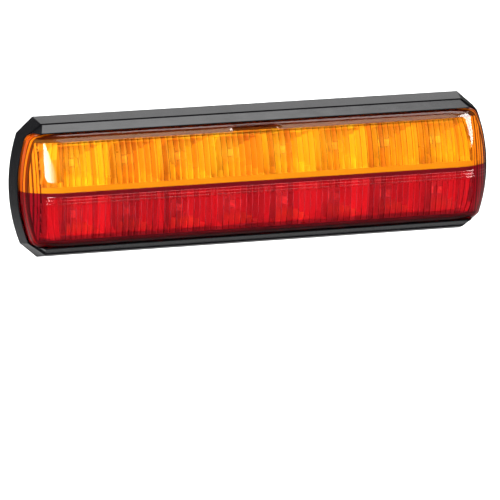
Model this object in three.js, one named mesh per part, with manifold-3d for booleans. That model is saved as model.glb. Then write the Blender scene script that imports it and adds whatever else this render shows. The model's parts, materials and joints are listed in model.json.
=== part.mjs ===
// A slimline combination tail light for a trailer: a black screw-on base, and a lamp that snaps
// into it. Millimetres. X runs along the lamp, +Z is up and the lamp shines towards -Y. The origin
// is the middle of the flat mounting face, on the plane y = 0, so a "depth" is a distance towards
// -Y from that face.

import * as THREE from "three";
import { ConvexGeometry } from "three/addons/geometries/ConvexGeometry.js";
import { mergeVertices } from "three/addons/utils/BufferGeometryUtils.js";
import Module from "manifold-3d";

const wasm = await Module();
wasm.setup();

// ---- Driving dimensions ----

// Base outline on the mounting face: straight top and bottom, chamfered corners, bowed ends.
const BASE_LENGTH = 240;
const BASE_HEIGHT = 68;
const BASE_STRAIGHT = 214.4;
const BASE_END_HEIGHT = 53.4;
const BASE_END_BULGE = 4.6;
const BASE_END_STEPS = 12;

// Base section: a drafted side wall, a narrow step, then a bevel up to a ridge beside the lens.
const WALL_DEPTH = 10.6;
const WALL_DRAFT_Z = 2.4;
const WALL_DRAFT_X = 1.6;
const STEP_Z = 0.5;
const STEP_X = 0.7;
const RIDGE_DEPTH = 18;
const RIDGE_HALF_HEIGHT = 27.9;
const RIDGE_LENGTH = 214;
const BACK_PLATE = 2.5;

// Lens.
const LENS_LENGTH = 235.2;
const LENS_HEIGHT = 54.4;
const LENS_END_BULGE = 4.8;
const LENS_CORNER = 5;
const LENS_DEPTH = 26.8;
const LENS_BULGE_RADIUS = 59.4;
const LENS_WALL = 2.4;
const LENS_BACK = 9.3;
const LENS_DRAFT = 1.2;
const FILLET_START = 23.4;
const FILLET_DROP = 3.7;
const END_CURVE_START = 97;
const END_CURVE_RADIUS = 22;
const SEAM_GAP = 0.1;

// Shallow notch in the lens's top edge, where a tool goes in to free the lamp.
const NOTCH_X = [-16.5, 12];
const NOTCH_FLOOR = 24.4;
const NOTCH_BACK = 19.9;

// Fits.
const SNAP_CLEARANCE = 0.25;
const RUNNING_GAP = 0.3;
const FIT_GAP = 0.05;

// Housing and board.
const HOUSING_BACK = 5.6;
const HOUSING_FLOOR = 1.8;
const HOUSING_FLANGE = 8.7;
const RIB_FRONT = 11.4;
const BOARD_BACK = 10;
const BOARD_THICKNESS = 1.6;
const BOARD_FRONT = BOARD_BACK + BOARD_THICKNESS;
const BOARD_LENGTH = 214;
const BOARD_HEIGHT = 44;
const BOARD_CORNER = 6;

// Light cells: one LED and one reflector cup each.
const CELLS = 8;
const CELL_PITCH = 26.1;
const ROW_OFFSET = 12.2;
const CUP_WIDTH = 24.6;
const CUP_HEIGHT = 21.2;
const CUP_WALL = 1.1;
const CUP_FRONT = 19.9;
const CUP_BACK = 12.3;
const CUP_THROAT = 4.1;
const CUP_SHIFT = 2.8; // the mouth of a cup lies this far to the right of its LED
const SKIN_INSET = 2.75;
const FACE_INSET = 3.6;
const SKIN_FRONT = 17.5;
const ROW_GAP = 0.15;
const LED_HALF = 1.75;
const LED_HEIGHT = 0.9;
const DOME_RADIUS = 1.4;
const DOME_SINK = 0.3;
const DOME_MIDDLE = [0.87, 0.5]; // points on a circle, as parts of its radius

// Fixings and cable way.
const MOUNT_PITCH = 150;
const BUSH_BORE = 2.75;
const BUSH_RADIUS = 4;
const BOARD_SCREW_X = 78.3;
const BOARD_SCREW_Z = 18.4;
const CABLE_X = 32;
const CABLE_BORE = 3.4;

// ---- Colours ----

const FINISH = {
  blackPlastic: { color: 0x17171a, roughness: 0.32, metalness: 0 },
  greyPlastic: { color: 0x3a3b3d, roughness: 0.5, metalness: 0 },
  rubber: { color: 0x1b1b1b, roughness: 0.85, metalness: 0 },
  steel: { color: 0xb9bcc0, roughness: 0.35, metalness: 1 },
  amberLens: { color: 0xff9d0a, roughness: 0.08, metalness: 0, transparent: true, opacity: 0.55 },
  redLens: { color: 0xd2101f, roughness: 0.08, metalness: 0, transparent: true, opacity: 0.55 },
  reflector: { color: 0xe8e8e6, roughness: 0.25, metalness: 0 },
  board: { color: 0xe4e5e0, roughness: 0.4, metalness: 0 },
  led: { color: 0xf3e7b0, roughness: 0.2, metalness: 0 },
  chip: { color: 0x202124, roughness: 0.5, metalness: 0 },
  ceramic: { color: 0xe6e2d6, roughness: 0.6, metalness: 0 },
};

// ---- Solids and placing ----

const lamp = new THREE.Group();

function solidOf(geometry) {
  const bare = geometry.index ? geometry.toNonIndexed() : geometry.clone();
  bare.deleteAttribute("normal");
  bare.deleteAttribute("uv");
  const merged = mergeVertices(bare, 1e-4);
  return new wasm.Manifold(
    new wasm.Mesh({
      numProp: 3,
      vertProperties: merged.attributes.position.array,
      triVerts: new Uint32Array(merged.index.array),
    }),
  );
}

function geometryOf(solid) {
  const mesh = solid.getMesh();
  const shared = new THREE.BufferGeometry();
  shared.setAttribute("position", new THREE.BufferAttribute(mesh.vertProperties, mesh.numProp));
  shared.setIndex(new THREE.BufferAttribute(mesh.triVerts, 1));
  const geometry = shared.toNonIndexed();
  geometry.computeVertexNormals();
  return geometry;
}

function addPiece(name, geometry, finish) {
  const mesh = new THREE.Mesh(geometry, new THREE.MeshStandardMaterial(FINISH[finish]));
  mesh.name = name;
  lamp.add(mesh);
  return mesh;
}

// A shape drawn in X and Z, as a solid between two depths.
function slab(shape, near, far, segments = 7) {
  const geometry = new THREE.ExtrudeGeometry(shape, {
    depth: far - near,
    bevelEnabled: false,
    curveSegments: segments,
  });
  return solidOf(geometry.rotateX(Math.PI / 2).translate(0, -near, 0));
}

// A box from its lowest to its highest X and Z, between two depths.
function block(x0, x1, z0, z1, near, far) {
  const geometry = new THREE.BoxGeometry(x1 - x0, far - near, z1 - z0);
  return solidOf(geometry.translate((x0 + x1) / 2, -(near + far) / 2, (z0 + z1) / 2));
}

// A solid through rings of points that match one to one, from the back to the front.
function loft(rings) {
  const corners = [];
  const face = (a, b, c) => {
    const isFlat = a.equals(b) || b.equals(c) || c.equals(a);
    corners.push(...(isFlat ? [] : [a, b, c]));
  };
  const count = rings[0].length;
  for (let r = 1; r < rings.length; r++) {
    const [back, front] = [rings[r - 1], rings[r]];
    for (let i = 0; i < count; i++) {
      const next = (i + 1) % count;
      face(back[i], back[next], front[next]);
      face(back[i], front[next], front[i]);
    }
  }
  const [first, last] = [rings[0], rings[rings.length - 1]];
  for (let i = 1; i + 1 < count; i++) {
    face(first[0], first[i + 1], first[i]);
    face(last[0], last[i], last[i + 1]);
  }
  return solidOf(new THREE.BufferGeometry().setFromPoints(corners));
}

// A round peg or drill along Y.
function peg(x, z, radius, near, far, sides = 32) {
  const geometry = new THREE.CylinderGeometry(radius, radius, far - near, sides);
  return solidOf(geometry.translate(x, -(near + far) / 2, z));
}

// A turned piece about a line along Y, from [radius, depth] points, back to front, that close on
// themselves or on the axis.
function turned(points, sides = 32) {
  const profile = points.map(([radius, depth]) => new THREE.Vector2(radius, -depth)).reverse();
  return new THREE.LatheGeometry(profile, sides);
}

function mirrored(value) {
  return [-value, value];
}

// ---- Outlines ----

// Radius and half-angle of the arc that bows out by a bulge over a chord's half-height.
function bow(halfHeight, bulge) {
  const radius = (halfHeight ** 2 + bulge ** 2) / (2 * bulge);
  return { radius, angle: Math.asin(halfHeight / radius) };
}

// The base's outline at a depth, anticlockwise from the front, pulled in by a draft in X and in Z.
function baseRing(depth, draftX, draftZ) {
  const straight = BASE_STRAIGHT / 2 - draftX;
  const top = BASE_HEIGHT / 2 - draftZ;
  const end = bow(BASE_END_HEIGHT / 2 - draftZ / 2, BASE_END_BULGE);
  const centre = BASE_LENGTH / 2 - draftX - end.radius;
  const ring = [];
  for (const side of [1, -1]) {
    ring.push([side * straight, -side * top]);
    for (let i = 0; i <= BASE_END_STEPS; i++) {
      const angle = end.angle * ((2 * i) / BASE_END_STEPS - 1);
      const reach = centre + end.radius * Math.cos(angle);
      ring.push([side * reach, side * end.radius * Math.sin(angle)]);
    }
    ring.push([side * straight, side * top]);
  }
  return ring.map(([x, z]) => new THREE.Vector3(x, -depth, z));
}

// The ridge beside the lens, with as many points as a base ring: both ends of a chamfer run to the
// same corner.
function ridgeRing() {
  const ring = [];
  for (const side of [1, -1]) {
    ring.push([side, -side]);
    for (let i = 0; i <= BASE_END_STEPS; i++) {
      ring.push([side, side * ((2 * i) / BASE_END_STEPS - 1)]);
    }
    ring.push([side, side]);
  }
  const [halfX, halfZ] = [RIDGE_LENGTH / 2, RIDGE_HALF_HEIGHT];
  return ring.map(([x, z]) => new THREE.Vector3(x * halfX, -RIDGE_DEPTH, z * halfZ));
}

// The arcs of the lens outline after an inset (or let out, below 0): the bowed end's centre and
// radius, and the rounded corner that touches it and the straight top.
function lensArcs(inset) {
  const end = bow(LENS_HEIGHT / 2, LENS_END_BULGE);
  const centre = LENS_LENGTH / 2 - end.radius;
  const radius = end.radius - inset;
  const corner = Math.max(LENS_CORNER - inset, 0.8);
  const cornerZ = LENS_HEIGHT / 2 - inset - corner;
  const lean = Math.asin(cornerZ / (radius - corner));
  const cornerX = centre + (radius - corner) * Math.cos(lean);
  return { centre, radius, corner, cornerX, cornerZ, lean };
}

function lensOutline(inset) {
  const { centre, radius, corner, cornerX, cornerZ, lean } = lensArcs(inset);
  const quarter = Math.PI / 2;
  const shape = new THREE.Shape();
  shape.absarc(cornerX, -cornerZ, corner, -quarter, -lean, false);
  shape.absarc(centre, 0, radius, -lean, lean, false);
  shape.absarc(cornerX, cornerZ, corner, lean, quarter, false);
  shape.absarc(-cornerX, cornerZ, corner, quarter, Math.PI - lean, false);
  shape.absarc(-centre, 0, radius, Math.PI - lean, Math.PI + lean, false);
  shape.absarc(-cornerX, -cornerZ, corner, Math.PI + lean, 3 * quarter, false);
  shape.closePath();
  return shape;
}

// ---- Base ----

function baseBody() {
  const wall = loft([baseRing(0, 0, 0), baseRing(WALL_DEPTH, WALL_DRAFT_X, WALL_DRAFT_Z)]);
  const [stepX, stepZ] = [WALL_DRAFT_X + STEP_X, WALL_DRAFT_Z + STEP_Z];
  const foot = baseRing(WALL_DEPTH - 1, stepX, stepZ);
  return wall.add(loft([foot, baseRing(WALL_DEPTH, stepX, stepZ), ridgeRing()]));
}

// Slots that core out the thick top and bottom walls from behind, so that they mould evenly.
const SLOT_COUNT = 6;
const SLOT_PITCH = 34;
const SLOT_LENGTH = 29;
const SLOT_DEPTH = 8.5;
const SLOT_Z = [29.4, 31.2];

function wallSlots(base) {
  for (let i = 0; i < SLOT_COUNT; i++) {
    const x = (i - (SLOT_COUNT - 1) / 2) * SLOT_PITCH;
    for (const side of [-1, 1]) {
      const [low, high] = SLOT_Z.map((z) => z * side).sort((a, b) => a - b);
      base = base.subtract(
        block(x - SLOT_LENGTH / 2, x + SLOT_LENGTH / 2, low, high, -1, SLOT_DEPTH),
      );
    }
  }
  return base;
}

// Low ribs that stiffen the back plate, under the lamp, and a raised ring round each screw hole.
const RIB_HALF_LENGTH = 105;
const RIB_HEIGHT = 1.6;
const RIB_WIDTH = 1.6;
const RIB_Z = 17;
const BUSH_RING = 3;
const BUSH_RING_HEIGHT = 0.6;

function makeBase() {
  let base = wallSlots(baseBody());
  base = base.subtract(slab(lensOutline(-SNAP_CLEARANCE), BACK_PLATE, LENS_DEPTH));
  for (const z of mirrored(RIB_Z)) {
    const [low, high] = [z - RIB_WIDTH / 2, z + RIB_WIDTH / 2];
    const front = BACK_PLATE + RIB_HEIGHT;
    base = base.add(block(-RIB_HALF_LENGTH, RIB_HALF_LENGTH, low, high, BACK_PLATE - 1, front));
  }
  for (const x of mirrored(MOUNT_PITCH / 2)) {
    const ringFront = BACK_PLATE + BUSH_RING_HEIGHT;
    base = base.add(peg(x, 0, BUSH_RADIUS + BUSH_RING, BACK_PLATE - 1, ringFront));
    base = base.subtract(peg(x, 0, BUSH_RADIUS, -1, ringFront + 1));
  }
  base = base.subtract(peg(CABLE_X, 0, GROMMET_RADIUS, -1, BACK_PLATE + 1));
  addPiece("base_bracket", geometryOf(base), "blackPlastic");
}

// A steel sleeve in each screw hole, so that the screws clamp on metal.
function makeMountBushes() {
  const front = BACK_PLATE + BUSH_RING_HEIGHT + 0.2;
  const profile = [
    [BUSH_BORE, 0],
    [BUSH_RADIUS - FIT_GAP, 0],
    [BUSH_RADIUS - FIT_GAP, front],
    [BUSH_BORE, front],
    [BUSH_BORE, 0],
  ];
  const names = ["mount_bush_left", "mount_bush_right"];
  mirrored(MOUNT_PITCH / 2).forEach((x, i) => {
    addPiece(names[i], turned(profile), "steel").position.set(x, 0, 0);
  });
}

// Rubber ring where the cable passes through the base.
const GROMMET_RADIUS = 8;
const GROMMET_FLANGE = 9.6;
const GROMMET_LIP = 1.4;
const GROMMET_BACK = 0.5;

function makeGrommet() {
  const bore = GLAND_TUBE + RUNNING_GAP;
  const profile = [
    [bore, GROMMET_BACK],
    [GROMMET_RADIUS - FIT_GAP, GROMMET_BACK],
    [GROMMET_RADIUS - FIT_GAP, BACK_PLATE],
    [GROMMET_FLANGE, BACK_PLATE],
    [GROMMET_FLANGE, BACK_PLATE + GROMMET_LIP],
    [bore, BACK_PLATE + GROMMET_LIP],
    [bore, GROMMET_BACK],
  ];
  addPiece("cable_grommet", turned(profile), "rubber").position.set(CABLE_X, 0, 0);
}

// ---- Housing ----

const FLANGE_INSET = 0.5;
const POCKET_INSET = 4.5;
const RIB_OUTER = 3.1;
const RIB_INNER = 4.5;
const BOSS_RADIUS = 3;
const PILOT_RADIUS = 1.5;

function makeHousing() {
  const floorFront = HOUSING_BACK + HOUSING_FLOOR;
  let housing = slab(lensOutline(FLANGE_INSET), HOUSING_BACK, HOUSING_FLANGE);
  housing = housing.add(slab(lensOutline(RIB_OUTER), HOUSING_FLANGE - 1, RIB_FRONT));
  housing = housing.subtract(slab(lensOutline(RIB_INNER), HOUSING_FLANGE - 1, RIB_FRONT + 1));
  housing = housing.subtract(slab(lensOutline(POCKET_INSET), floorFront, HOUSING_FLANGE - 1));
  for (const x of mirrored(BOARD_SCREW_X)) {
    for (const z of mirrored(BOARD_SCREW_Z)) {
      housing = housing.add(peg(x, z, BOSS_RADIUS, floorFront - 1, BOARD_BACK, 16));
      housing = housing.subtract(peg(x, z, PILOT_RADIUS, floorFront - 0.8, BOARD_BACK + 1, 16));
    }
  }
  housing = housing.subtract(peg(CABLE_X, 0, GLAND_SEAT, HOUSING_BACK - 1, floorFront + 1, 32));
  addPiece("lamp_housing", geometryOf(housing), "greyPlastic");
}

// Rubber seal between the lens skirt and the housing flange.
const SEAL_OUTER = 0.7;
const SEAL_INNER = 2.1;

function makeSeal() {
  let seal = slab(lensOutline(SEAL_OUTER), HOUSING_FLANGE, LENS_BACK);
  seal = seal.subtract(slab(lensOutline(SEAL_INNER), HOUSING_FLANGE - 1, LENS_BACK + 1));
  addPiece("lens_seal", geometryOf(seal), "rubber");
}

// Rubber gland that the cable passes through into the housing.
const GLAND_TUBE = 5.2;
const GLAND_SEAT = 5.8;
const GLAND_FLANGE = 7.4;
const GLAND_BACK = 1.2;
const GLAND_LIP = 1.4;
const GLAND_CHAMFER = [0.5, 0.8];

function makeGland() {
  const floorFront = HOUSING_BACK + HOUSING_FLOOR;
  const profile = [
    [CABLE_BORE, GLAND_BACK],
    [GLAND_TUBE - GLAND_CHAMFER[0], GLAND_BACK],
    [GLAND_TUBE, GLAND_BACK + GLAND_CHAMFER[1]],
    [GLAND_TUBE, HOUSING_BACK],
    [GLAND_SEAT - FIT_GAP, HOUSING_BACK],
    [GLAND_SEAT - FIT_GAP, floorFront],
    [GLAND_FLANGE, floorFront],
    [GLAND_FLANGE, floorFront + GLAND_LIP],
    [CABLE_BORE, floorFront + GLAND_LIP],
    [CABLE_BORE, GLAND_BACK],
  ];
  addPiece("cable_gland", turned(profile), "rubber").position.set(CABLE_X, 0, 0);
}

// ---- Lens ----

const LENS_COLUMNS = 34;
const LENS_ROWS = 16;

// Depth of the lens front at a place: an arc in height, a roll-off at the top and bottom edges,
// and a curve back at the ends.
function lensFront(x, z) {
  const rise = Math.abs(z);
  const straight = Math.min(rise, FILLET_START);
  const centre = LENS_DEPTH - LENS_BULGE_RADIUS;
  let depth = centre + Math.sqrt(LENS_BULGE_RADIUS ** 2 - straight ** 2);
  if (rise > FILLET_START) {
    const turn = (rise - FILLET_START) / (LENS_HEIGHT / 2 - FILLET_START);
    depth -= FILLET_DROP * (1 - Math.sqrt(1 - Math.min(turn, 1) ** 2));
  }
  const past = Math.max(Math.abs(x) - END_CURVE_START, 0);
  return depth - END_CURVE_RADIUS + Math.sqrt(END_CURVE_RADIUS ** 2 - past ** 2);
}

// The lens as a full block whose front is curved and whose ends are bowed, pulled in by an inset.
function lensBlock(inset, back) {
  const box = new THREE.BoxGeometry(1, 1, 1, LENS_COLUMNS, 1, LENS_ROWS);
  const at = box.attributes.position;
  const top = LENS_HEIGHT / 2 - inset;
  const { centre, radius } = lensArcs(inset);
  for (let i = 0; i < at.count; i++) {
    const isFront = at.getY(i) < 0;
    const z = top * Math.sin(Math.PI * at.getZ(i));
    const draft = isFront ? LENS_DRAFT : 0;
    const end = centre + Math.sqrt(radius ** 2 - z ** 2) - draft;
    const x = end * Math.sin(Math.PI * at.getX(i));
    const full = (z * LENS_HEIGHT) / 2 / top;
    at.setXYZ(i, x, isFront ? inset - lensFront(x, full) : -back, z);
  }
  return solidOf(box).intersect(slab(lensOutline(inset), back, LENS_DEPTH + 1));
}

function makeLenses() {
  const notch = block(...NOTCH_X, NOTCH_FLOOR, LENS_HEIGHT, NOTCH_BACK, LENS_DEPTH);
  const outside = lensBlock(0, LENS_BACK).subtract(notch);
  const shell = outside.subtract(lensBlock(LENS_WALL, LENS_BACK - 1));
  const reach = LENS_LENGTH / 2 + 1;
  const half = LENS_HEIGHT / 2 + 1;
  const seam = SEAM_GAP / 2;
  const upper = block(-reach, reach, seam, half, 0, LENS_DEPTH + 1);
  const lower = block(-reach, reach, -half, -seam, 0, LENS_DEPTH + 1);
  addPiece("amber_lens", geometryOf(shell.intersect(upper)), "amberLens");
  addPiece("red_lens", geometryOf(shell.intersect(lower)), "redLens");
}

// ---- Board and electronics ----

function makeBoard() {
  const corner = BOARD_CORNER;
  const halfX = BOARD_LENGTH / 2;
  const halfZ = BOARD_HEIGHT / 2;
  const shape = new THREE.Shape();
  shape.moveTo(corner - halfX, -halfZ);
  shape.absarc(halfX - corner, corner - halfZ, corner, -Math.PI / 2, 0, false);
  shape.absarc(halfX - corner, halfZ - corner, corner, 0, Math.PI / 2, false);
  shape.absarc(corner - halfX, halfZ - corner, corner, Math.PI / 2, Math.PI, false);
  shape.absarc(corner - halfX, corner - halfZ, corner, Math.PI, (3 * Math.PI) / 2, false);
  let board = slab(shape, BOARD_BACK, BOARD_FRONT, 5);
  for (const x of mirrored(BOARD_SCREW_X)) {
    for (const z of mirrored(BOARD_SCREW_Z)) {
      board = board.subtract(peg(x, z, PILOT_RADIUS + 0.1, 0, BOARD_FRONT + 1, 16));
    }
  }
  addPiece("circuit_board", geometryOf(board), "board");
}

function cellX(i) {
  return (i - (CELLS - 1) / 2) * CELL_PITCH;
}

// A surface-mount package with a clear dome.
function makeLeds() {
  const bodyFront = BOARD_FRONT + LED_HEIGHT;
  const [wide, narrow] = DOME_MIDDLE.map((part) => part * DOME_RADIUS);
  const dome = turned([
    [0, bodyFront - DOME_SINK],
    [DOME_RADIUS, bodyFront - DOME_SINK],
    [DOME_RADIUS, bodyFront],
    [wide, bodyFront + narrow],
    [narrow, bodyFront + wide],
    [0, bodyFront + DOME_RADIUS],
  ], 16);
  const body = block(-LED_HALF, LED_HALF, -LED_HALF, LED_HALF, BOARD_FRONT, bodyFront);
  const geometry = geometryOf(body.add(solidOf(dome)));
  for (const [row, z] of [["amber", ROW_OFFSET], ["red", -ROW_OFFSET]]) {
    for (let i = 0; i < CELLS; i++) {
      addPiece(`led_${row}_${i + 1}`, geometry, "led").position.set(cellX(i), 0, z);
    }
  }
}

// A square-mouthed cup between two depths, grown by a wall thickness all round. It leans to the
// right as it opens.
function cup(x, z, grow, near, far) {
  const along = (depth) => (depth - CUP_BACK) / (CUP_FRONT - CUP_BACK);
  const points = [near, far].flatMap((depth) => {
    const half = (CUP_THROAT + (CUP_WIDTH - CUP_THROAT) * along(depth)) / 2 + grow;
    const high = (CUP_THROAT + (CUP_HEIGHT - CUP_THROAT) * along(depth)) / 2 + grow;
    const middle = x + CUP_SHIFT * along(depth);
    return mirrored(half).flatMap((dx) =>
      mirrored(high).map((dz) => new THREE.Vector3(middle + dx, -depth, z + dz)),
    );
  });
  return solidOf(new ConvexGeometry(points));
}

// The reflectors: a thin skin that follows the inside of the lens, with a row of eight cups in each
// half, joined at the front by a flat rim.
function makeReflectors() {
  const reach = LENS_LENGTH / 2;
  const half = LENS_HEIGHT / 2;
  const face = lensBlock(FACE_INSET, LENS_BACK);
  const behind = block(-reach, reach, -half, half, CUP_BACK, SKIN_FRONT);
  const outside = face.add(lensBlock(SKIN_INSET, LENS_BACK).intersect(behind));
  const skin = outside.subtract(lensBlock(FACE_INSET + CUP_WALL, LENS_BACK - 1));
  for (const [name, row] of [["amber_reflector", 1], ["red_reflector", -1]]) {
    const z = row * ROW_OFFSET;
    let cups = block(-reach, reach, -half, half, CUP_FRONT - CUP_WALL, CUP_FRONT);
    for (let i = 0; i < CELLS; i++) {
      cups = cups.add(cup(cellX(i), z, CUP_WALL, CUP_BACK, CUP_FRONT));
    }
    let reflector = skin.add(cups.intersect(face));
    for (let i = 0; i < CELLS; i++) {
      reflector = reflector.subtract(cup(cellX(i), z, 0, CUP_BACK - 0.5, CUP_FRONT + 0.2));
    }
    const [low, high] = row > 0 ? [ROW_GAP, half] : [-half, -ROW_GAP];
    reflector = reflector.intersect(block(-reach, reach, low, high, CUP_BACK, CUP_FRONT));
    addPiece(name, geometryOf(reflector), "reflector");
  }
}

// Parts on the front of the board, in the gaps between the cups: [name, gap number from the
// middle, row side, length, width, height, finish].
const BOARD_PARTS = [
  ["amber_driver_chip", 0, 1, 5, 4, 1.6, "chip"],
  ["red_driver_chip", 0, -1, 5, 4, 1.6, "chip"],
  ["indicator_diode", 1, 1, 4.4, 2.6, 1.5, "chip"],
  ["tail_diode", 1, -1, 4.4, 2.6, 1.5, "chip"],
  ["stop_diode", -1, -1, 4.4, 2.6, 1.5, "chip"],
  ["surge_suppressor", 2, -1, 4.6, 3.4, 1.7, "chip"],
  ["indicator_resistor", -1, 1, 3.2, 1.6, 0.7, "ceramic"],
  ["tail_resistor", -2, -1, 3.2, 1.6, 0.7, "ceramic"],
  ["stop_resistor", -2, 1, 3.2, 1.6, 0.7, "ceramic"],
];

const PART_TAPER = 0.12; // how far a part's sides lean in, as a part of its width
const PART_SHOULDER = 0.6; // and from where, as a part of its height

function makeBoardParts() {
  for (const [name, gap, side, length, width, height, finish] of BOARD_PARTS) {
    const cut = width * PART_TAPER;
    const shape = new THREE.Shape();
    shape.moveTo(-width / 2, BOARD_FRONT);
    shape.lineTo(width / 2, BOARD_FRONT);
    shape.lineTo(width / 2, BOARD_FRONT + height * PART_SHOULDER);
    shape.lineTo(width / 2 - cut, BOARD_FRONT + height);
    shape.lineTo(cut - width / 2, BOARD_FRONT + height);
    shape.lineTo(-width / 2, BOARD_FRONT + height * PART_SHOULDER);
    shape.closePath();
    const geometry = new THREE.ExtrudeGeometry(shape, { depth: length, bevelEnabled: false });
    geometry.translate(0, 0, -length / 2);
    const piece = addPiece(name, geometry, finish);
    piece.rotation.x = Math.PI;
    piece.position.set(gap * CELL_PITCH, 0, side * ROW_OFFSET);
  }
}

// Three-way solder terminal on the back of the board, beside the gland.
const TERMINAL_LEFT = CABLE_X + 10;
const TERMINAL_LENGTH = 7;
const TERMINAL_HALF_HEIGHT = 6;
const TERMINAL_DEPTH = 2;
const TERMINAL_FLOOR = 0.8;
const TERMINAL_HOLE = 1.1;
const TERMINAL_WAYS = [-4, 0, 4];

function makeTerminal() {
  const right = TERMINAL_LEFT + TERMINAL_LENGTH;
  const half = TERMINAL_HALF_HEIGHT;
  const back = BOARD_BACK - TERMINAL_DEPTH;
  let terminal = block(TERMINAL_LEFT, right, -half, half, back, BOARD_BACK);
  for (const z of TERMINAL_WAYS) {
    const x = TERMINAL_LEFT + TERMINAL_LENGTH / 2;
    terminal = terminal.subtract(peg(x, z, TERMINAL_HOLE, 0, BOARD_BACK - TERMINAL_FLOOR, 12));
  }
  addPiece("wire_terminal", geometryOf(terminal), "ceramic");
}

// Pan-head screws with a cross recess that hold the board on its bosses.
const SCREW_SHANK = 1.2;
const SCREW_TIP = HOUSING_BACK + HOUSING_FLOOR - 0.3;
const SCREW_POINT = 0.7;
const SCREW_HEAD = 2.5;
const HEAD_RIM = 0.9;
const HEAD_HEIGHT = 1.7;
const RECESS_REACH = 1.5;
const RECESS_HALF_WIDTH = 0.3;
const RECESS_DEPTH = 0.8;

function makeBoardScrews() {
  const headFront = BOARD_FRONT + HEAD_HEIGHT;
  const profile = [
    [0, SCREW_TIP],
    [SCREW_SHANK, SCREW_TIP + SCREW_POINT],
    [SCREW_SHANK, BOARD_FRONT],
    [SCREW_HEAD, BOARD_FRONT],
    [SCREW_HEAD, BOARD_FRONT + HEAD_RIM],
    [SCREW_HEAD * 0.8, headFront - 0.3],
    [SCREW_HEAD * 0.4, headFront],
    [0, headFront],
  ];
  let screw = solidOf(turned(profile, 16));
  const recess = [RECESS_REACH, RECESS_HALF_WIDTH];
  for (const [x, z] of [recess, recess.toReversed()]) {
    screw = screw.subtract(block(-x, x, -z, z, headFront - RECESS_DEPTH, headFront + 1));
  }
  const geometry = geometryOf(screw);
  let number = 1;
  for (const x of mirrored(BOARD_SCREW_X)) {
    for (const z of mirrored(BOARD_SCREW_Z)) {
      addPiece(`board_screw_${number}`, geometry, "steel").position.set(x, 0, z);
      number += 1;
    }
  }
}

makeBase();
makeMountBushes();
makeGrommet();
makeHousing();
makeSeal();
makeGland();
makeLenses();
makeBoard();
makeLeds();
makeReflectors();
makeBoardParts();
makeTerminal();
makeBoardScrews();

export default lamp;
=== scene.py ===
"""Looks for the trailer tail light: materials on the CAD parts, a moulded lens with its inner
flutes, light and camera. Metres, in the CAD frame: X along the lamp, +Z up, front towards -Y."""

import json
import math

import bpy
import numpy as np
from mathutils import Matrix, Vector


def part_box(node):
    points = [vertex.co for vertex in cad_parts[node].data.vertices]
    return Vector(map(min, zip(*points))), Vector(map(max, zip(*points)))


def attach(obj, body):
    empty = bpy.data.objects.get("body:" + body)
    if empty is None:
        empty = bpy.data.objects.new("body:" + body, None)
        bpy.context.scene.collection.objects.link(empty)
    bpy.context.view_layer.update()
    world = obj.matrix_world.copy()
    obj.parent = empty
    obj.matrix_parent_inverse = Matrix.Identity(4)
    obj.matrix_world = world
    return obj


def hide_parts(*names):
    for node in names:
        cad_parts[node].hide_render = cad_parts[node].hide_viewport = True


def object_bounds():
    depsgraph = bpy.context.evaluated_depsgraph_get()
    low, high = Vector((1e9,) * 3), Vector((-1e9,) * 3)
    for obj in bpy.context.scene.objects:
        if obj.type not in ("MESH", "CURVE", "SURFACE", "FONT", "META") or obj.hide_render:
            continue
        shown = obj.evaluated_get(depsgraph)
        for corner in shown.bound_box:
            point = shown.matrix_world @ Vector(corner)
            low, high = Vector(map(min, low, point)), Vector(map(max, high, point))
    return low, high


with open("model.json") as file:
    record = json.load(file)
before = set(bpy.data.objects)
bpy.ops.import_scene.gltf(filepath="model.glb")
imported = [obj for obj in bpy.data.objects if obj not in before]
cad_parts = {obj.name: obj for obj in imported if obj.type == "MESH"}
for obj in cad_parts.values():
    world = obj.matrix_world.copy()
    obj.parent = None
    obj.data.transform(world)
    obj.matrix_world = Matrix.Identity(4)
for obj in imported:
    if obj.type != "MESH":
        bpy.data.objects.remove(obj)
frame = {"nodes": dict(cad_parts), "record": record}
cad_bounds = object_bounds()

MM = 0.001

# ---- Camera ----

VIEW_AZIMUTH = math.radians(-16.3)
VIEW_ELEVATION = math.radians(8.0)
VIEW_ROLL = math.radians(-1.4)
VIEW_DISTANCE = 2.076
VIEW_WIDTH = 0.2427  # width of the picture at the lamp
AIM_BELOW = 0.0374  # the lamp sits above the middle of the picture
AIM_RIGHT = 0.0004
SENSOR = 36.0


def make_camera():
    az, el, roll = VIEW_AZIMUTH, VIEW_ELEVATION, VIEW_ROLL
    back = Vector((math.sin(az) * math.cos(el), -math.cos(az) * math.cos(el), math.sin(el)))
    side = Vector((math.cos(az), math.sin(az), 0))
    up = back.cross(side)
    right = side * math.cos(roll) + up * math.sin(roll)
    up = back.cross(right)
    data = bpy.data.cameras.new("view_camera")
    data.sensor_width = SENSOR
    data.lens = SENSOR * VIEW_DISTANCE / VIEW_WIDTH
    data.clip_start = 0.05
    data.clip_end = 60
    camera = bpy.data.objects.new("view_camera", data)
    bpy.context.scene.collection.objects.link(camera)
    place = back * VIEW_DISTANCE
    forward = (right * AIM_RIGHT - up * AIM_BELOW - place).normalized()
    turned_right = forward.cross(up).normalized()
    turned_up = turned_right.cross(forward)
    basis = Matrix((turned_right, turned_up, -forward)).transposed()
    camera.matrix_world = Matrix.Translation(place) @ basis.to_4x4()
    bpy.context.scene.camera = camera


# ---- Light and floor ----

FLOOR_DROP = 0.3
FLOOR_HALF = 12.0
BACKDROP = 1.05  # brightness of the empty background
ROOM_LOW = 0.5  # light that reaches the lamp's inside, away from the key side
ROOM_HIGH = 6.0  # and from the key side
KEY_SIDE = (-0.62, -0.42, 0.66)
KEY_SPREAD = (0.2, 0.95)  # cosines from the key side at which the light starts and is full
BEHIND_SLOPE = 2.0  # how fast the mirrored studio brightens towards the back of the lamp
BEHIND_START = 0.2
MIRRORED_LEAST = 0.025
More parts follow.
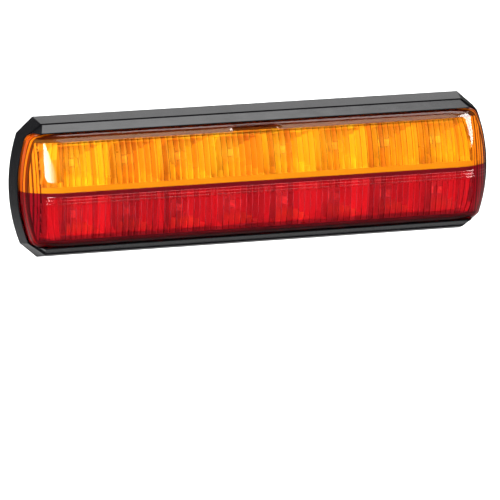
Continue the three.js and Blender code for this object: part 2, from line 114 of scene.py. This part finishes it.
# What a mirror sees behind the lamp, from straight down (0) to straight up (1).
MIRRORED_STUDIO = [
    (0.0, 0.2),
    (0.13, 0.13),
    (0.208, 0.14),
    (0.235, 0.7),
    (0.3, 0.55),
    (0.4, 0.2),
    (0.5, 0.08),
    (1.0, 0.05),
]
PANEL_DISTANCE = 1.5
SAIL_DIM = 0.08  # how bright a sail still is at its dim side
NO_FADE = (2.0, 3.0)  # places past the edge of any sail, so that it stays bright


def node(tree, kind, **values):
    made = tree.nodes.new(kind)
    for name, value in values.items():
        setattr(made, name, value)
    return made


def ramp(tree, source, stops):
    """A colour ramp on a value, from (place, grey or colour) stops."""
    made = node(tree, "ShaderNodeValToRGB")
    elements = made.color_ramp.elements
    while len(elements) < len(stops):
        elements.new(0.5)
    for element, (place, colour) in zip(elements, stops):
        grey = isinstance(colour, (int, float))
        element.position = place
        element.color = (colour, colour, colour, 1) if grey else (*colour, 1)
    tree.links.new(source, made.inputs["Fac"])
    return made.outputs["Color"]


def math_node(tree, operation, *values, clamp=False):
    made = node(tree, "ShaderNodeMath", operation=operation, use_clamp=clamp)
    for socket, value in zip(made.inputs, values):
        if isinstance(value, (int, float)):
            socket.default_value = value
        else:
            tree.links.new(value, socket)
    return made.outputs[0]


def object_axis(tree, axis):
    """A point's place along one of the object's own axes, in metres."""
    split = node(tree, "ShaderNodeSeparateXYZ")
    tree.links.new(node(tree, "ShaderNodeTexCoord").outputs["Object"], split.inputs[0])
    return split.outputs[axis]


def map_range(tree, source, start, end, at_start, at_end):
    """A number that eases from at_start to at_end while the source runs from start to end."""
    made = node(tree, "ShaderNodeMapRange", interpolation_type="SMOOTHSTEP")
    tree.links.new(source, made.inputs["Value"])
    made.inputs["From Min"].default_value = start
    made.inputs["From Max"].default_value = end
    made.inputs["To Min"].default_value = at_start
    made.inputs["To Max"].default_value = at_end
    return made.outputs["Result"]


def make_world():
    """White to look at. It lights the lamp's inside most from the upper left, and mirrors see a
    dim studio that is brighter behind the lamp."""
    world = bpy.data.worlds.new("studio")
    bpy.context.scene.world = world
    world.use_nodes = True
    tree = world.node_tree
    tree.nodes.clear()
    direction = node(tree, "ShaderNodeTexCoord").outputs["Generated"]
    split = node(tree, "ShaderNodeSeparateXYZ")
    tree.links.new(direction, split.inputs[0])
    height = math_node(tree, "MULTIPLY_ADD", split.outputs["Z"], 0.5, 0.5)
    behind = math_node(
        tree, "MULTIPLY_ADD", split.outputs["Y"], BEHIND_SLOPE, BEHIND_START, clamp=True
    )
    mirrored = math_node(tree, "MULTIPLY", ramp(tree, height, MIRRORED_STUDIO), behind)
    mirrored = math_node(tree, "ADD", mirrored, MIRRORED_LEAST)

    toward_key = node(tree, "ShaderNodeVectorMath", operation="DOT_PRODUCT")
    tree.links.new(direction, toward_key.inputs[0])
    toward_key.inputs[1].default_value = Vector(KEY_SIDE).normalized()
    key = map_range(tree, toward_key.outputs["Value"], *KEY_SPREAD, ROOM_LOW, ROOM_HIGH)

    path = node(tree, "ShaderNodeLightPath")
    room = node(tree, "ShaderNodeMix", data_type="FLOAT")
    tree.links.new(path.outputs["Is Camera Ray"], room.inputs[0])
    tree.links.new(key, room.inputs[2])
    room.inputs[3].default_value = BACKDROP
    through = math_node(tree, "SUBTRACT", 1.0, path.outputs["Is Transmission Ray"])
    in_mirror = math_node(tree, "MULTIPLY", path.outputs["Is Glossy Ray"], through)
    strength = node(tree, "ShaderNodeMix", data_type="FLOAT")
    tree.links.new(in_mirror, strength.inputs[0])
    tree.links.new(room.outputs[0], strength.inputs[2])
    tree.links.new(mirrored, strength.inputs[3])
    background = node(tree, "ShaderNodeBackground")
    tree.links.new(strength.outputs[0], background.inputs["Strength"])
    output = node(tree, "ShaderNodeOutputWorld")
    tree.links.new(background.outputs[0], output.inputs[0])


def add_panel(name, toward, width, height, radiance):
    """A soft panel light, seen from the lamp in a direction, that only mirrors show."""
    data = bpy.data.lights.new(name, "AREA")
    data.shape = "RECTANGLE"
    data.size = width
    data.size_y = height
    data.energy = radiance * math.pi * width * height
    panel = bpy.data.objects.new(name, data)
    bpy.context.scene.collection.objects.link(panel)
    toward = Vector(toward).normalized()
    rotation = toward.to_track_quat("Z", "Y").to_matrix().to_4x4()
    panel.matrix_world = Matrix.Translation(toward * PANEL_DISTANCE) @ rotation
    panel.visible_camera = False


def direction_at(azimuth, elevation):
    """Unit vector from the lamp at an azimuth from straight ahead (right is positive)."""
    az, el = math.radians(azimuth), math.radians(elevation)
    return Vector((math.sin(az) * math.cos(el), -math.cos(az) * math.cos(el), math.sin(el)))


def add_sail(name, corners, radiance, fade):
    """A soft panel cut to a shape, from (azimuth, elevation) corners, that only mirrors show. It
    dims from the first of the two places along X in fade to the second."""
    mesh = bpy.data.meshes.new(name)
    points = [direction_at(*corner) * PANEL_DISTANCE for corner in corners]
    mesh.from_pydata(points, [], [tuple(range(len(points)))])
    material = bpy.data.materials.new(name)
    material.use_nodes = True
    tree = material.node_tree
    tree.nodes.clear()
    glow = node(tree, "ShaderNodeEmission")
    dimmed = map_range(tree, object_axis(tree, "X"), *fade, radiance, radiance * SAIL_DIM)
    tree.links.new(dimmed, glow.inputs["Strength"])
    output = node(tree, "ShaderNodeOutputMaterial")
    tree.links.new(glow.outputs[0], output.inputs["Surface"])
    mesh.materials.append(material)
    sail = bpy.data.objects.new(name, mesh)
    bpy.context.scene.collection.objects.link(sail)
    sail.visible_camera = False
    sail.visible_diffuse = False
    sail.visible_transmission = False
    sail.visible_shadow = False


def make_lights():
    add_panel("panel_overhead", (0.275, 0.40, 0.862), 1.8, 0.6, 3.0)
    add_panel("panel_front", (0.241, -0.438, 0.866), 1.0, 0.9, 2.3)
    add_panel("panel_back", (0.30, 0.80, 0.52), 1.2, 0.5, 1.0)
    left = [(-46, 36), (-46, 5), (-40, 1), (-20, 1), (-18, 8), (-34, 26)]
    right = [(52, 46), (92, 46), (74, 6), (68, 4)]
    add_sail("sail_left", left, 24.0, (-0.95, -0.5))
    add_sail("sail_right", right, 16.0, NO_FADE)


def make_floor():
    lowest = cad_bounds[0].z - FLOOR_DROP
    mesh = bpy.data.meshes.new("floor")
    signs = ((-1, -1), (1, -1), (1, 1), (-1, 1))
    corners = [(x * FLOOR_HALF, y * FLOOR_HALF, lowest) for x, y in signs]
    mesh.from_pydata(corners, [], [(0, 1, 2, 3)])
    floor = bpy.data.objects.new("floor", mesh)
    bpy.context.scene.collection.objects.link(floor)
    material, shader = new_material("floor_paint")
    shader.inputs["Base Color"].default_value = (0.9, 0.9, 0.9, 1)
    shader.inputs["Roughness"].default_value = 0.9
    mesh.materials.append(material)
    floor.visible_glossy = False


# ---- Materials ----

LENS_IOR = 1.49
BASE_IOR = 1.4
GRAIN_DEPTH = 0.05 * MM
WAVE_DEPTH = 0.04 * MM
GROOVE_HIGHLIGHT_SHARE = 0.07  # part of a flute, on each side of a groove, that takes the clear colour as a painted highlight line
SKIRT_SCALE = 30 * MM  # depth at the end of the skirt's colour ramp
END_SHADE_LINES = [(0.0, 0.1), (0.47, 0.53), (0.9, 1.0)]  # painted shade lines across a flute of the ends
END_SHADE_BLUR = 0.06
EDGE_ROUNDING = {"base_bracket": 0.18 * MM, "lamp_housing": 0.3 * MM}
SMALL_ROUNDING = 0.1 * MM
ROUNDED_ANGLE = math.radians(12)
WELD_DISTANCE = 0.01 * MM


def new_material(name):
    material = bpy.data.materials.new(name)
    material.use_nodes = True
    tree = material.node_tree
    tree.nodes.clear()
    shader = node(tree, "ShaderNodeBsdfPrincipled")
    output = node(tree, "ShaderNodeOutputMaterial")
    tree.links.new(shader.outputs[0], output.inputs["Surface"])
    return material, shader


def noise(tree, scale, detail=3.0):
    """Noise in the object's own metres, as many waves to the metre as scale says."""
    made = node(tree, "ShaderNodeTexNoise")
    made.inputs["Scale"].default_value = scale
    made.inputs["Detail"].default_value = detail
    tree.links.new(node(tree, "ShaderNodeTexCoord").outputs["Object"], made.inputs["Vector"])
    return made.outputs["Fac"]


def add_bump(shader, height, strength, distance):
    tree = shader.id_data
    bump = node(tree, "ShaderNodeBump")
    bump.inputs["Strength"].default_value = strength
    bump.inputs["Distance"].default_value = distance
    tree.links.new(height, bump.inputs["Height"])
    tree.links.new(bump.outputs[0], shader.inputs["Normal"])


def moulded(name, colour, roughness, spread, grain=900.0, bump=0.12, tint=0.25):
    """A moulded plastic or rubber: colour and gloss that drift a little, and a fine grain."""
    material, shader = new_material(name)
    tree = material.node_tree
    drift = noise(tree, 35.0)
    low = tuple(c * (1 - tint) for c in colour)
    high = tuple(min(c * (1 + tint), 1) for c in colour)
    tree.links.new(ramp(tree, drift, [(0.3, low), (0.7, high)]), shader.inputs["Base Color"])
    gloss = noise(tree, 120.0, 4.0)
    tree.links.new(
        ramp(tree, gloss, [(0.3, roughness - spread), (0.7, roughness + spread)]),
        shader.inputs["Roughness"],
    )
    add_bump(shader, noise(tree, grain, 2.0), bump, GRAIN_DEPTH)
    return material, shader


def make_lens_material(name, colour):
    """Clear coloured plastic with a slight wave in its polish."""
    material, shader = new_material(name)
    shader.inputs["Base Color"].default_value = (*colour, 1)
    shader.inputs["Transmission Weight"].default_value = 1.0
    shader.inputs["IOR"].default_value = LENS_IOR
    tree = material.node_tree
    gloss = noise(tree, 60.0, 3.0)
    tree.links.new(ramp(tree, gloss, [(0.35, 0.015), (0.7, 0.045)]), shader.inputs["Roughness"])
    add_bump(shader, noise(tree, 90.0, 2.0), 0.05, WAVE_DEPTH)
    return material, shader


def count_flutes(tree):
    """How many flutes from the middle of the lens a point lies, as a sliding number."""
    return math_node(tree, "MULTIPLY", object_axis(tree, "X"), 1 / FLUTE_PITCH)


def make_flute_material(name, shaded_tone, colour, clear):
    """The fluted inside of the clear plastic, with painted light and shade in its colour. The depth
    of colour is even within a flute and changes at random from one flute to the next, standing in
    for the light and shade the flutes refract; along the grooves, where the wall is thinnest, it
    takes the clear colour as a painted highlight line."""
    material, shader = make_lens_material(name, colour)
    tree = material.node_tree
    count = count_flutes(tree)
    # Painted light and shade: a random tone for each flute.
    thickness = node(tree, "ShaderNodeTexWhiteNoise", noise_dimensions="1D")
    tree.links.new(math_node(tree, "FLOOR", count), thickness.inputs["W"])
    painted_tones = [(0.0, shaded_tone), (0.6, colour), (0.8, colour), (1.0, clear)]
    painted_tone = ramp(tree, thickness.outputs["Value"], painted_tones)
    # Painted highlight: the clear colour along each groove.
    highlight_stops = [(0.0, 1.0), (GROOVE_HIGHLIGHT_SHARE, 0.0), (1 - GROOVE_HIGHLIGHT_SHARE, 0.0), (1.0, 1.0)]
    groove_highlight = ramp(tree, math_node(tree, "FRACT", count), highlight_stops)
    blend = node(tree, "ShaderNodeMix", data_type="RGBA")
    tree.links.new(groove_highlight, blend.inputs[0])
    tree.links.new(painted_tone, blend.inputs[6])
    blend.inputs[7].default_value = (*clear, 1)
    tree.links.new(blend.outputs[2], shader.inputs["Base Color"])
    return material


def make_skirt_material(name, foot, shade_line, weld_and_lit_band, edge, front_shade):
    """The textured inside of the lens skirt. Its colour changes with depth in bands of painted
    light and shade seen in the lens wall: the foot, a fine painted dark line, a painted bright
    band, the thick edge, and painted shade at its front."""
    material, shader = moulded(name, edge, 0.4, 0.05)
    tree = material.node_tree
    depth = math_node(tree, "MULTIPLY", object_axis(tree, "Y"), -1 / SKIRT_SCALE)
    stops = [
        (10.0, foot),
        (12.1, foot),
        (12.3, shade_line),
        (12.7, shade_line),
        (12.9, weld_and_lit_band),
        (13.8, weld_and_lit_band),
        (14.3, edge),
        (21.2, edge),
        (22.2, front_shade),
    ]
    stops = [(at * MM / SKIRT_SCALE, colour) for at, colour in stops]
    tree.links.new(ramp(tree, depth, stops), shader.inputs["Base Color"])
    return material


def make_end_material(name, lit, shaded):
    """The textured flutes where the lens turns to its ends, striped with painted light and painted
    shade.
    """
    material, shader = moulded(name, lit, 0.4, 0.05)
    tree = material.node_tree
    across = math_node(tree, "FRACT", count_flutes(tree))
    stops = []
    for start, end in END_SHADE_LINES:
        stops += [(start - END_SHADE_BLUR, lit), (start, shaded)]
        stops += [(end, shaded), (end + END_SHADE_BLUR, lit)]
    stops = [(at, colour) for at, colour in stops if 0 <= at <= 1]
    tree.links.new(ramp(tree, across, stops), shader.inputs["Base Color"])
    return material


def make_materials():
    made = {}
    made["black_plastic"], shader = moulded(
        "black_plastic", (0.004, 0.004, 0.0046), 0.17, 0.04, 1400.0, 0.06
    )
    shader.inputs["IOR"].default_value = BASE_IOR
    made["housing_plastic"], _ = moulded("housing_plastic", (0.045, 0.046, 0.05), 0.45, 0.06)
    made["rubber"], _ = moulded("rubber", (0.02, 0.02, 0.02), 0.75, 0.08, 700.0, 0.3)
    made["reflector_white"], shader = moulded(
        "reflector_white", (0.9, 0.9, 0.88), 0.32, 0.05, 500.0, 0.05, 0.03
    )
    shader.inputs["Metallic"].default_value = 0.5
    made["led_package"], shader = moulded(
        "led_package", (0.95, 0.9, 0.6), 0.2, 0.05, 900.0, 0.04, 0.05
    )
    # Painted glow: the LED gives off a little light though the lamp is off.
    shader.inputs["Emission Color"].default_value = (1.0, 0.95, 0.7, 1)
    shader.inputs["Emission Strength"].default_value = 0.4
    made["chip_black"], _ = moulded("chip_black", (0.02, 0.02, 0.022), 0.5, 0.08, 2500.0, 0.3)
    made["ceramic_white"], _ = moulded("ceramic_white", (0.75, 0.73, 0.68), 0.6, 0.06)
    made["board_white"], _ = moulded("board_white", (0.8, 0.8, 0.77), 0.4, 0.05, 300.0, 0.2, 0.05)
    made["steel"], shader = moulded("steel", (0.6, 0.61, 0.63), 0.3, 0.07, 1500.0, 0.1, 0.08)
    shader.inputs["Metallic"].default_value = 1.0
    made["amber_lens"], _ = make_lens_material("amber_lens_plastic", (0.98, 0.57, 0.09))
    # Flute colours: painted shade, the plastic's colour, and painted light.
    made["amber_flutes"] = make_flute_material(
        "amber_flutes", (0.64, 0.17, 0.02), (0.94, 0.45, 0.035), (1.0, 0.86, 0.06)
    )
    made["red_lens"], _ = make_lens_material("red_lens_plastic", (0.68, 0.065, 0.10))
    made["red_flutes"] = make_flute_material(
        "red_flutes", (0.27, 0.009, 0.018), (0.64, 0.022, 0.036), (1.0, 0.06, 0.075)
    )
    # Skirt bands by depth paint the light and shade seen in the lens wall: a dark line, a bright
    # band and shade at the front.
    made["amber_skirt"] = make_skirt_material(
        "amber_skirt",
        foot=(0.7, 0.15, 0.01),
        shade_line=(0.05, 0.006, 0.002),
        weld_and_lit_band=(0.95, 0.36, 0.02),
        edge=(0.2, 0.026, 0.005),
        front_shade=(0.05, 0.012, 0.006),
    )
    made["red_skirt"] = make_skirt_material(
        "red_skirt",
        foot=(0.3, 0.01, 0.016),
        shade_line=(0.03, 0.002, 0.003),
        weld_and_lit_band=(0.4, 0.02, 0.03),
        edge=(0.09, 0.005, 0.008),
        front_shade=(0.03, 0.006, 0.008),
    )
    made["amber_shade"], _ = moulded("amber_shade", (0.09, 0.018, 0.008), 0.4, 0.05)
    made["red_shade"], _ = moulded("red_shade", (0.05, 0.006, 0.009), 0.4, 0.05)
    # Painted light along the amber lens's lit edge above the seam.
    made["amber_band"], _ = moulded("amber_band", (0.74, 0.38, 0.03), 0.4, 0.05, tint=0.04)
    # End stripes: painted light and painted shade.
    made["amber_end"] = make_end_material("amber_end", (0.95, 0.38, 0.03), (0.16, 0.025, 0.005))
    # Painted shade in the red band under the seam.
    made["red_band"], _ = moulded("red_band", (0.17, 0.03, 0.045), 0.4, 0.05, tint=0.1)
    made["red_end"] = make_end_material("red_end", (0.34, 0.014, 0.045), (0.05, 0.003, 0.008))
    return made


def dress_cad_nodes(materials):
    """Each CAD node takes its slot's material and a small rounding on its edges."""
    for part in frame["record"]["subparts"]:
        piece = frame["nodes"][part["node"]]
        piece.data.materials.clear()
        piece.data.materials.append(materials[part["material_slot"]])
        weld_and_lit_band = piece.modifiers.new("weld_and_lit_band", "WELD")
        weld_and_lit_band.merge_threshold = WELD_DISTANCE
        rounding = piece.modifiers.new("rounding", "BEVEL")
        rounding.width = EDGE_ROUNDING.get(part["node"], SMALL_ROUNDING)
        rounding.segments = 3
        rounding.limit_method = "ANGLE"
        rounding.angle_limit = ROUNDED_ANGLE
        rounding.use_clamp_overlap = True
        piece.data.shade_smooth()
        if part["material_slot"] == "reflector_white":
            rounding.harden_normals = True
            continue
        even = piece.modifiers.new("even_faces", "WEIGHTED_NORMAL")
        even.mode = "FACE_AREA"
        even.weight = 100


# ---- Lens ----

LENS_LOW, LENS_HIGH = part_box("amber_lens")
LENS_HALF = LENS_HIGH.x
LENS_TOP = LENS_HIGH.z
LENS_DEPTH = -LENS_LOW.y
LENS_BACK = -LENS_HIGH.y
SEAM_HALF = 0.04 * MM
WALL = 2.4 * MM
BULGE_RADIUS = 59.4 * MM  # of the front, across the lamp
END_CURVE_START = 97 * MM  # where the front turns back towards the ends
END_CURVE_RADIUS = 22 * MM

# Outline and rounded edge
END_BULGE = 4.8 * MM
CORNER = 5.0 * MM
DRAFT = 1.2 * MM
FACE_CORNER = 1.4 * MM  # corner radius of the front, inside its rounded edge
TOP_EDGE = 3.8 * MM  # width and fall of the rounded edge, along the top and at the ends
TOP_FALL = 3.7 * MM
END_EDGE = 1.4 * MM
END_FALL = 1.4 * MM
INNER_END = 2.8 * MM  # the inner face stops this far inside the outline at the ends
INNER_FALL = 0.4  # fall of the inner rounded edge, as part of the outer one's
EDGE_STEPS = 10
ON_BOW = 1.0001  # a point this far past the end of the bow still counts as on it
WRAP_START = 88 * MM  # where the columns of points start to follow the bowed ends
SHARP_ANGLE = math.radians(38)

# Flutes of the inner face
FLUTES = 78
FLUTE_PITCH = 2 * (LENS_HALF - INNER_END) / FLUTES
FLUTE_PHASES = (0, 0.075, 0.15, 0.3, 0.5, 0.7, 0.85, 0.925)  # columns of points across one
FLUTE_RISE = 0.28 * MM
GROOVE = 0.1 * MM
FLUTE_FADE = 0.3 * MM
AMBER_FLUTE_START = 2.5 * MM  # heights from the seam
RED_FLUTE_START = 6.0 * MM
FLUTE_END = 23.1 * MM
STRIPES_LEFT = -108.5 * MM  # the flutes take painted light and shade stripes outside these
STRIPES_RIGHT = 106.5 * MM

# Band and ridges beside the seam, in heights from it
BAND_MIDDLE = 1.2 * MM
BAND_HEIGHT = 2.4 * MM
RIDGES = (2.4 * MM, 3.8 * MM, 5.3 * MM)
RIDGE_HALF = 0.35 * MM
RIDGE_RISE = 0.24 * MM
AMBER_PLAIN_START = 4.0 * MM  # evenly spaced rows of points from here up
AMBER_PLAIN_ROWS = 14
RED_PLAIN_START = 7.2 * MM
RED_PLAIN_ROWS = 12
LEAST_ROW_GAP = 0.02 * MM

# Pry notch
NOTCH = (-16.5 * MM, 12 * MM)
NOTCH_TAPER = 5.0 * MM
NOTCH_DEPTH = 19.9 * MM
NOTCH_EDGE = 0.5 * MM

# The materials of one half of the lens, in the order of its slots
ZONES = ("lens", "skirt", "band", "end", "flutes", "shade")
CLEAR_ZONE, SKIRT_ZONE, BAND_ZONE, END_ZONE, FLUTE_ZONE, SHADE_ZONE = range(len(ZONES))


class Outline:
    """A lens outline inside the real one: a bowed end, and a corner that runs into the top."""

    def __init__(self, end_inset, top_inset, corner):
        bow = (LENS_TOP**2 + END_BULGE**2) / (2 * END_BULGE)
        self.centre = LENS_HALF - DRAFT - bow
        self.radius = bow - end_inset
        self.corner = corner
        self.rise = LENS_TOP - top_inset - corner
        self.top = self.rise + corner
        self.lean = math.asin(self.rise / (self.radius - corner))
        self.corner_x = self.centre + (self.radius - corner) * math.cos(self.lean)

    def half(self, z):
        """Half-length at a height."""
        on_bow = z <= self.radius * math.sin(self.lean)
        bow = self.centre + np.sqrt(np.maximum(self.radius**2 - z**2, 0))
        past = np.clip(z - self.rise, 0, self.corner)
        return np.where(on_bow, bow, self.corner_x + np.sqrt(self.corner**2 - past**2))

    def onto(self, other, x, z, on_top):
        """Where points of this outline lie on another one, and how far round the corner."""
        along = np.arcsin(np.clip(z / self.radius, -1, 1)) / self.lean
        turn = np.arctan2(z - self.rise, np.abs(x) - self.corner_x)
        turn = np.clip((turn - self.lean) / (math.pi / 2 - self.lean), 0, 1)
        angle = other.lean + turn * (math.pi / 2 - other.lean)
        on_bow = z <= self.radius * math.sin(self.lean) * ON_BOW
        bow = (
            other.centre + other.radius * np.cos(along * other.lean),
            other.radius * np.sin(along * other.lean),
        )
        corner = (
            other.corner_x + other.corner * np.cos(angle),
            other.rise + other.corner * np.sin(angle),
        )
        top = (np.abs(x) * other.corner_x / self.corner_x, other.top)
        new_x, new_z = (
            np.where(on_top, t, np.where(on_bow, b, c)) for t, b, c in zip(top, bow, corner)
        )
        return np.sign(x) * new_x, new_z, np.where(on_top, 1.0, np.where(on_bow, 0.0, turn))


def front_depth(x, z):
    """Depth of the lens's outer face, before its edge rounding."""
    centre = LENS_DEPTH - BULGE_RADIUS
    depth = centre + np.sqrt(BULGE_RADIUS**2 - z**2)
    past = np.maximum(np.abs(x) - END_CURVE_START, 0)
    return depth - END_CURVE_RADIUS + np.sqrt(END_CURVE_RADIUS**2 - past**2)


def smooth(t):
    t = np.clip(t, 0, 1)
    return t * t * (3 - 2 * t)


def lens_rows(has_ridges):
    """Heights of the rows of points, from the seam to the start of the edge rounding."""
    turn_start = LENS_TOP - TOP_EDGE - FACE_CORNER
    turn = turn_start + FACE_CORNER * np.sin(np.linspace(0, math.pi / 2, 9))
    rows = [SEAM_HALF, BAND_MIDDLE, BAND_HEIGHT, *turn]
    rows += list(np.linspace(FLUTE_END - FLUTE_FADE, FLUTE_END, 3))
    if has_ridges:
        for ridge in RIDGES:
            rows += list(ridge + RIDGE_HALF * np.linspace(-1.0, 1.0, 11))
        rows += list(np.linspace(RED_FLUTE_START, RED_FLUTE_START + FLUTE_FADE, 3))
        rows += list(np.linspace(RED_PLAIN_START, turn_start, RED_PLAIN_ROWS))
    else:
        rows += list(np.linspace(AMBER_FLUTE_START, AMBER_FLUTE_START + FLUTE_FADE, 3))
        rows += list(np.linspace(AMBER_PLAIN_START, turn_start, AMBER_PLAIN_ROWS))
    rows = np.array(sorted(rows))
    keep = np.concatenate(([True], np.diff(rows) > LEAST_ROW_GAP))
    return rows[keep]


def ridge_height(z, has_ridges):
    """How far the ridges under the seam stand out of the outer face."""
    height = np.zeros_like(z)
    if has_ridges:
        for ridge in RIDGES:
            off = np.clip(np.abs(z - ridge) / RIDGE_HALF, 0, 1)
            height = np.maximum(height, RIDGE_RISE * (0.5 + 0.5 * np.cos(math.pi * off)))
    return height


def face_grid(outline, rows):
    """Points of a face inside an outline, whose columns follow the bowed ends near the ends."""
    widest = outline.half(np.array(0.0))
    across = np.add.outer(np.arange(FLUTES), FLUTE_PHASES).reshape(-1)
    across = np.append(across, FLUTES) * 2 / FLUTES - 1
    x, z = np.meshgrid(across * widest, rows)
    wrap = smooth((np.abs(x) - WRAP_START) / (widest - WRAP_START))
    return x - np.sign(x) * wrap * (widest - outline.half(z)), z


def edge_path(grid):
    """A grid's border from the seam up one end, along the top and down the other end."""
    return np.concatenate([grid[:-1, 0], grid[-1, :-1], grid[::-1, -1]])


def notch_depth(x, z, depth, side):
    """Depth of the edge rounding where the pry notch flattens it."""
    if side < 0:
        return depth
    inside = smooth((x - NOTCH[0]) / NOTCH_TAPER) * smooth((NOTCH[1] - x) / NOTCH_TAPER)
    inside = inside * (z > LENS_TOP - TOP_EDGE + NOTCH_EDGE)
    return depth + inside * (np.minimum(depth, NOTCH_DEPTH) - depth)


class Shell:
    """Collects the points and faces of one half of the lens, with a material slot for each face."""

    def __init__(self, side):
        self.side = side
        self.points = []
        self.faces = []
        self.slots = []

    def add(self, x, depth, z):
        """Adds a block of points and returns their numbers."""
        first = len(self.points)
        block = np.stack([x, -depth, self.side * z], -1)
        self.points.extend(block.reshape(-1, 3))
        return np.arange(first, first + block.size // 3).reshape(x.shape)

    def skin(self, grid, flip, slot=CLEAR_ZONE):
        """Quads between neighbouring points of a grid, with a slot for all or for each."""
        a, b, c, d = grid[:-1, :-1], grid[:-1, 1:], grid[1:, 1:], grid[1:, :-1]
        order = (d, c, b, a) if flip else (a, b, c, d)
        self.faces.extend(np.stack(order, -1).reshape(-1, 4).tolist())
        self.slots.extend(np.broadcast_to(slot, a.shape).reshape(-1).tolist())

    def rim(self, start, outline, x, z, on_top, target, thickness, ridges):
        """Rings that turn from a face into the side wall and run back to the lens's rim. The
        outer face has thickness 0."""
        is_outer = thickness == 0
        to_x, to_z, turned = outline.onto(target, x, z, on_top)
        fall = END_FALL + (TOP_FALL - END_FALL) * smooth(turned)
        fall = fall * (1 if is_outer else INNER_FALL)
        lift = ridges * ~on_top
        out = np.sign(x)
        rings = [start]
        for step in range(1, EDGE_STEPS + 1):
            angle = step / EDGE_STEPS * math.pi / 2
            px = x + (to_x - x) * math.sin(angle)
            pz = z + (to_z - z) * math.sin(angle)
            depth = front_depth(px, pz) - thickness - fall * (1 - math.cos(angle))
            if is_outer:
                depth = notch_depth(px, pz, depth, self.side)
            px = px + out * lift * math.sin(angle)
            rings.append(self.add(px, depth + lift * math.cos(angle), pz))
        back_x = to_x + out * DRAFT * (1 - turned)
        rings.append(self.add(back_x, np.full_like(back_x, LENS_BACK), to_z))
        return np.array(rings)


def make_lens(name, side, materials):
    """One colour of the lens as a closed shell: side is 1 above the seam and -1 below. The zones
    of its inside take materials of their own."""
    has_ridges = side < 0
    shell = Shell(side)
    rows = lens_rows(has_ridges)
    outer_line = Outline(END_EDGE, TOP_EDGE, FACE_CORNER)
    inner_line = Outline(INNER_END, TOP_EDGE, FACE_CORNER)
    x, z = face_grid(outer_line, rows)
    outer = shell.add(x, front_depth(x, z) + ridge_height(z, has_ridges), z)

    inner_x, _ = face_grid(inner_line, rows)
    phase = np.append(np.tile(FLUTE_PHASES, FLUTES), 0)
    flute = FLUTE_RISE * (1 - (2 * phase - 1) ** 2) - GROOVE * (phase == 0)
    flute_start = RED_FLUTE_START if has_ridges else AMBER_FLUTE_START
    mask = smooth((z - flute_start) / FLUTE_FADE) * smooth((FLUTE_END - z) / FLUTE_FADE)
    inner = shell.add(inner_x, front_depth(inner_x, z) - WALL - flute * mask, z)
    shell.skin(outer, side < 0)
    far = inner_x[1:, 1:]
    in_end = (far > STRIPES_RIGHT) | (far < STRIPES_LEFT)
    in_shade = rows[:-1, None] >= FLUTE_END
    in_band = rows[1:, None] <= BAND_HEIGHT + LEAST_ROW_GAP / 2
    zones = np.where(in_band, BAND_ZONE, FLUTE_ZONE)
    zones = np.where(in_end, END_ZONE, zones)
    zones = np.where(in_shade, SHADE_ZONE, zones)
    shell.skin(inner, side > 0, zones)

    count_rows, count_columns = x.shape
    on_top = np.zeros(2 * (count_rows - 1) + count_columns, bool)
    on_top[count_rows - 1 : count_rows + count_columns - 2] = True
    path_z = edge_path(z)
    ridges = ridge_height(path_z, has_ridges)
    outer_rim = shell.rim(
        edge_path(outer), outer_line, edge_path(x), path_z, on_top,
        Outline(0, 0, CORNER), 0, ridges,
    )
    inner_rim = shell.rim(
        edge_path(inner), inner_line, edge_path(inner_x), path_z, on_top,
        Outline(WALL, WALL, CORNER - WALL), WALL, 0 * ridges,
    )
    shell.skin(outer_rim, side < 0)
    rounded = np.arange(EDGE_STEPS + 1) < EDGE_STEPS
    shell.skin(inner_rim, side > 0, np.where(rounded, SHADE_ZONE, SKIRT_ZONE)[:, None])
    shell.skin(np.array([outer_rim[-1], inner_rim[-1]]), side < 0)

    def seam_line(grid, rings):
        return np.concatenate([rings[::-1, 0], grid[0, 1:-1], rings[:, -1]])

    shell.skin(np.array([seam_line(outer, outer_rim), seam_line(inner, inner_rim)]), side > 0)

    mesh = bpy.data.meshes.new(name)
    mesh.from_pydata([tuple(p) for p in shell.points], [], shell.faces)
    for material in materials:
        mesh.materials.append(material)
    mesh.polygons.foreach_set("material_index", shell.slots)
    mesh.validate()
    mesh.shade_smooth()
    mesh.set_sharp_from_angle(angle=SHARP_ANGLE)
    piece = bpy.data.objects.new(name, mesh)
    bpy.context.scene.collection.objects.link(piece)
    return piece


def make_lenses(materials):
    for colour, side in (("amber", 1), ("red", -1)):
        chosen = [materials[f"{colour}_{zone}"] for zone in ZONES]
        piece = make_lens(f"{colour}_lens_moulded", side, chosen)
        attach(piece, "lamp")
        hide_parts(f"{colour}_lens")


# ---- Scene ----

bpy.context.scene.view_settings.view_transform = "Standard"
make_camera()
make_world()
make_lights()
make_floor()
MATERIALS = make_materials()
dress_cad_nodes(MATERIALS)
make_lenses(MATERIALS)
